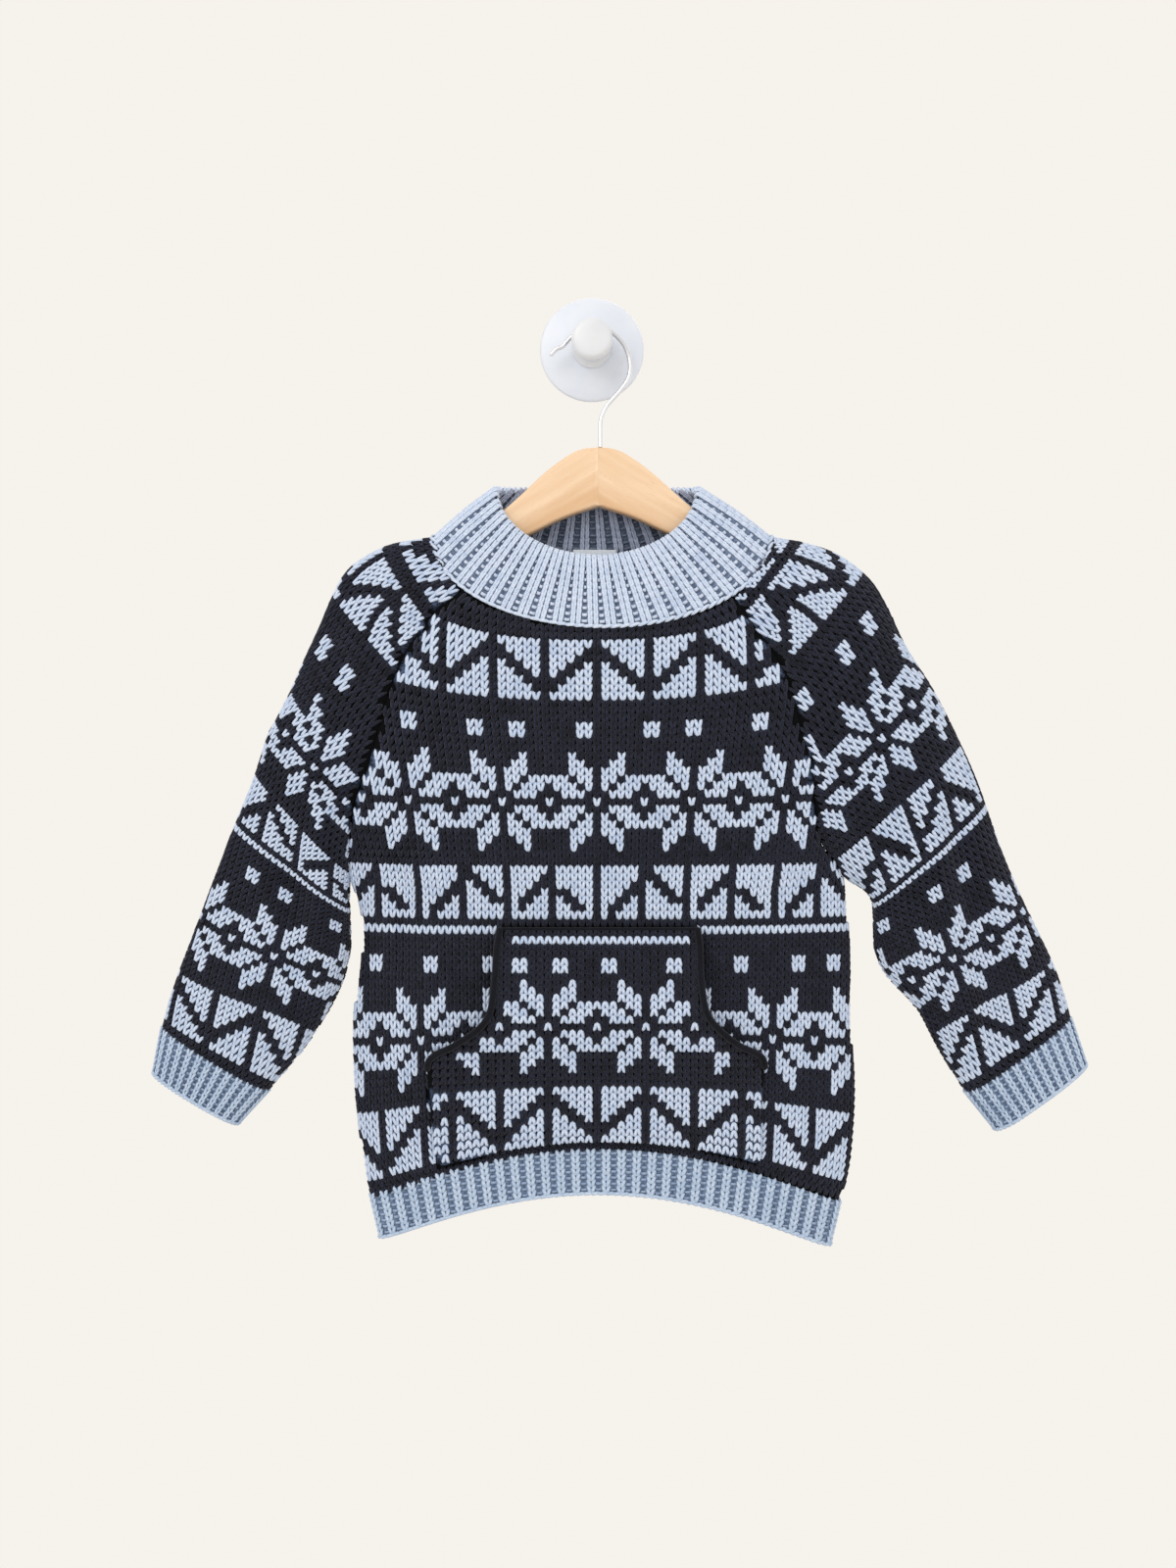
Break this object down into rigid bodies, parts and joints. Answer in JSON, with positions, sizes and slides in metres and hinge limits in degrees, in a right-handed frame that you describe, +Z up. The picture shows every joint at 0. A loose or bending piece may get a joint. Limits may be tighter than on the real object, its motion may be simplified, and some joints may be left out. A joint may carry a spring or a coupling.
{
  "type": "fair isle jumper on hanger",
  "caption": "Child's navy and pale blue fair isle jumper with ribbed collar, cuffs and hem and a kangaroo pocket, on a wooden hanger and a white wall hook.",
  "frame": {"origin": "middle of the wall hook plate's back face, on the wall", "axes": "+Z up, +Y into the wall, +X to the viewer's right; the jumper's front faces -Y"},
  "size_m": [0.6362, 0.0579, 0.6536],
  "materials": {
    "navy_knit": "chunky wool knit with a pale blue traditional pattern",
    "blue_knit": "pale blue ribbed knit",
    "label_cloth": "blank white woven tape",
    "birch": "clear satin lacquer",
    "steel_wire": "bright plated wire",
    "white_plastic": "white moulded plastic"
  },
  "bodies": {
    "root": {"front_panel": "navy_knit", "back_panel": "navy_knit", "sleeve_left": "navy_knit", "sleeve_right": "navy_knit", "pocket": "navy_knit", "collar_rib": "blue_knit", "hem_rib_front": "blue_knit", "hem_rib_back": "blue_knit", "cuff_rib_left": "blue_knit", "cuff_rib_right": "blue_knit", "neck_label": "label_cloth", "hanger_arm_left": "birch", "hanger_arm_right": "birch", "hanger_wire_hook": "steel_wire", "wall_hook_plate": "white_plastic", "wall_hook_knob": "white_plastic"}
  },
  "joints": []
}
